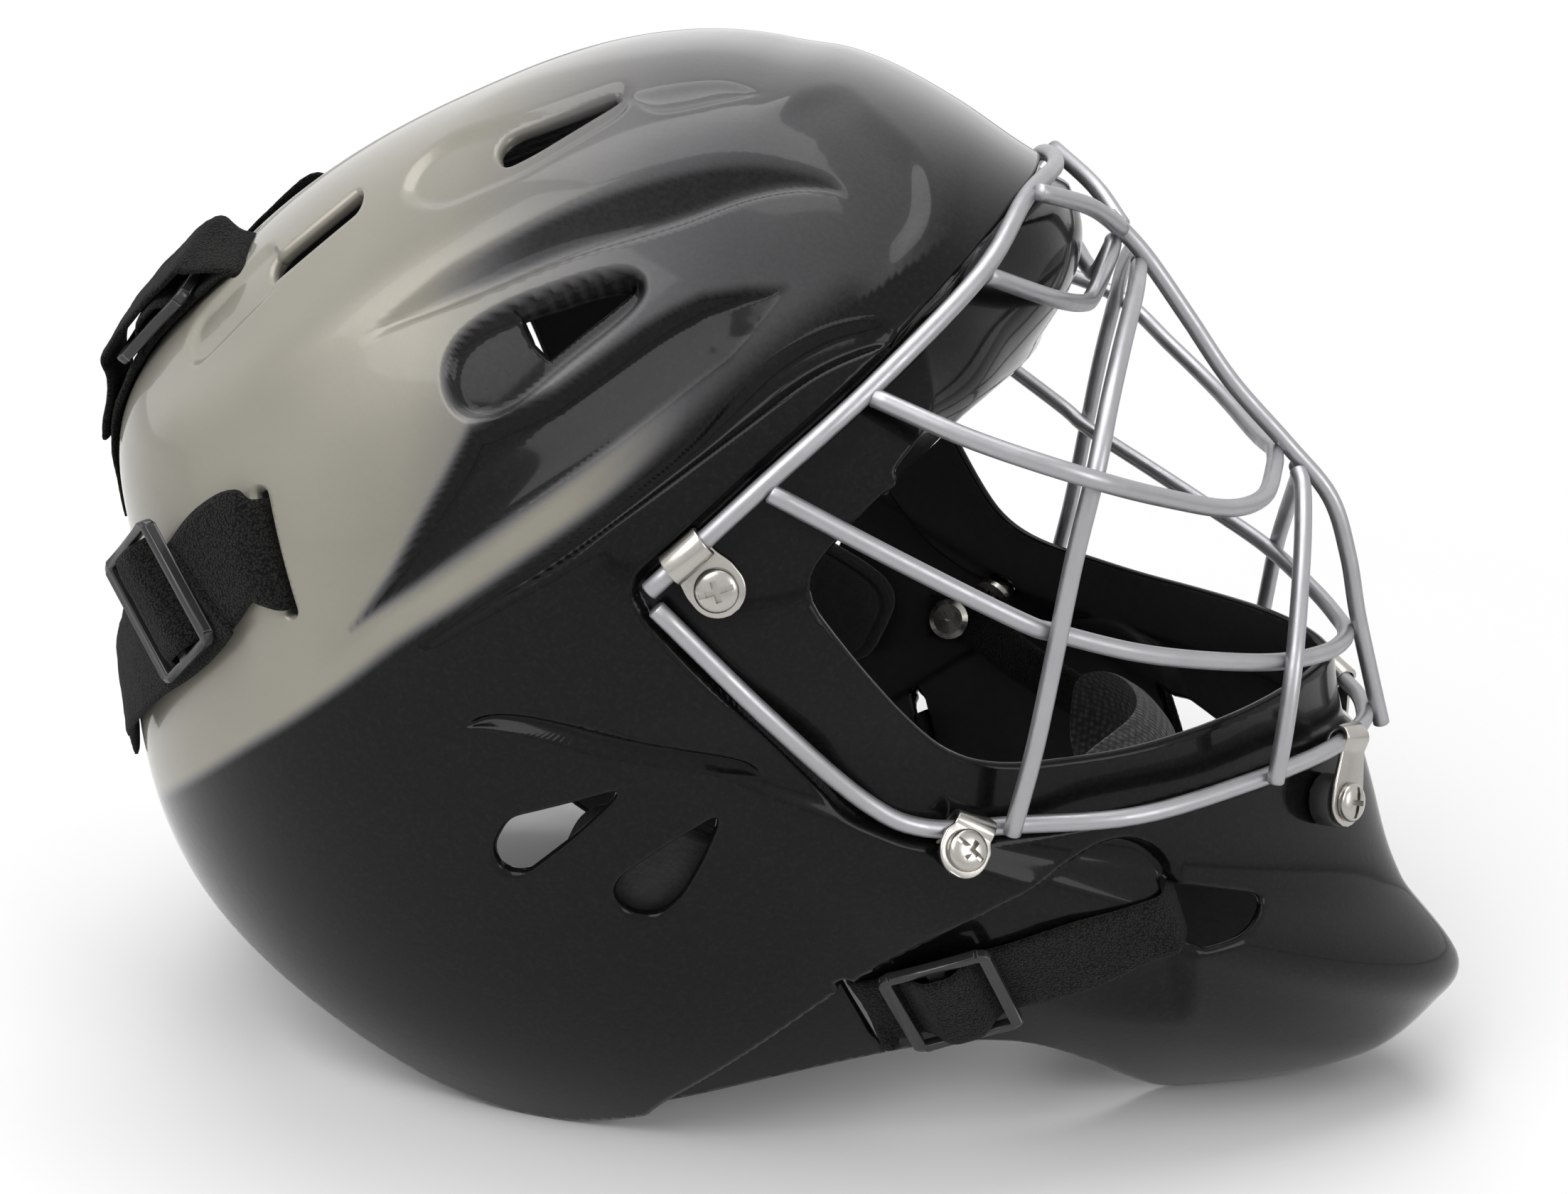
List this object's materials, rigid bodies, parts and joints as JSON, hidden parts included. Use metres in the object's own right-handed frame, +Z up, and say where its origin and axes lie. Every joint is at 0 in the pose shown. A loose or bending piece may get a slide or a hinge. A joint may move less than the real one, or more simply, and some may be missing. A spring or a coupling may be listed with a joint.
{
  "type": "catchers mask",
  "caption": "One-piece catcher's mask: moulded shell with a welded wire cage, foam liner, hinged rear plate on elastic straps and a chin cup.",
  "frame": {"origin": "middle of the bounding box on the plane the mask stands on", "axes": "+X is the way the wearer looks, +Y is the wearer's left, +Z is up"},
  "size_m": [0.3527, 0.2348, 0.2561],
  "materials": {
    "painted_shell": "glossy charcoal paint that fades to silver-cream at the rear",
    "cage_wire": "satin silver",
    "polished_steel": "polished stainless",
    "rubber_spacer": "matt",
    "foam": "fabric faced foam",
    "plate_plastic": "glossy",
    "elastic": "woven elastic",
    "slider_plastic": "satin",
    "cup_fabric": "textured grey fabric"
  },
  "bodies": {
    "mask": {"shell": "painted_shell", "cage_upper_frame": "cage_wire", "cage_lower_frame": "cage_wire", "cage_brow_bar": "cage_wire", "cage_upper_bar": "cage_wire", "cage_lower_bar": "cage_wire", "cage_centre_bar": "cage_wire", "cage_fork": "cage_wire", "cage_outer_upright_left": "cage_wire", "cage_outer_upright_right": "cage_wire", "cage_inner_upright_left": "cage_wire", "cage_inner_upright_right": "cage_wire", "upper_clip_left": "polished_steel", "upper_clip_right": "polished_steel", "lower_clip_left": "polished_steel", "lower_clip_right": "polished_steel", "front_clip_left": "polished_steel", "front_clip_right": "polished_steel", "front_spacers": "rubber_spacer", "cage_screws": "polished_steel", "cage_nuts": "polished_steel", "forehead_pad": "foam", "crown_pad": "foam", "temple_pad_left": "foam", "temple_pad_right": "foam", "jaw_pad_left": "foam", "jaw_pad_right": "foam", "neck_pad_left": "foam", "neck_pad_right": "foam", "top_strap_left": "elastic", "top_strap_right": "elastic", "side_strap_left": "elastic", "side_strap_right": "elastic", "lower_strap_left": "elastic", "lower_strap_right": "elastic"},
    "plate": {"rear_plate": "plate_plastic", "rear_plate_pad": "foam"},
    "chin": {"chin_cup": "cup_fabric", "chin_strap_left": "elastic", "chin_strap_right": "elastic", "chin_snaps": "polished_steel"},
    "top_slider_left_body": {"top_slider_left": "slider_plastic"},
    "top_slider_right_body": {"top_slider_right": "slider_plastic"},
    "side_slider_left_body": {"side_slider_left": "slider_plastic"},
    "side_slider_right_body": {"side_slider_right": "slider_plastic"},
    "lower_slider_left_body": {"lower_slider_left": "slider_plastic"},
    "lower_slider_right_body": {"lower_slider_right": "slider_plastic"}
  },
  "joints": [
    {"name": "rear_plate_hinge", "type": "hinge", "parent": "mask", "child": "plate", "pos_m": [-0.16073, 0, 0.188], "axis": [0, 1, 0], "range_deg": [0, 35], "stiffness_Nm_per_rad": 0.4, "deforming": ["top_strap_left", "top_strap_right", "side_strap_left", "side_strap_right"]},
    {"name": "chin_cup_swing", "type": "hinge", "parent": "mask", "child": "chin", "pos_m": [0.02927, 0, 0.0803], "axis": [0, 1, 0], "range_deg": [-8, 10], "stiffness_Nm_per_rad": 0.6},
    {"name": "top_slider_left_slide", "type": "slide", "parent": "mask", "child": "top_slider_left_body", "axis": [-0.6794, -0.1248, -0.7231], "range_m": [-0.006, 0.006]},
    {"name": "top_slider_right_slide", "type": "slide", "parent": "mask", "child": "top_slider_right_body", "axis": [-0.6794, 0.1248, -0.7231], "range_m": [-0.006, 0.006]},
    {"name": "side_slider_left_slide", "type": "slide", "parent": "mask", "child": "side_slider_left_body", "axis": [-0.6481, -0.5021, -0.5726], "range_m": [-0.006, 0.006]},
    {"name": "side_slider_right_slide", "type": "slide", "parent": "mask", "child": "side_slider_right_body", "axis": [-0.6481, 0.5021, -0.5726], "range_m": [-0.006, 0.006]},
    {"name": "lower_slider_left_slide", "type": "slide", "parent": "mask", "child": "lower_slider_left_body", "axis": [0.9186, -0.0612, 0.3904], "range_m": [-0.004, 0.006]},
    {"name": "lower_slider_right_slide", "type": "slide", "parent": "mask", "child": "lower_slider_right_body", "axis": [0.9186, 0.0612, 0.3904], "range_m": [-0.004, 0.006]}
  ]
}
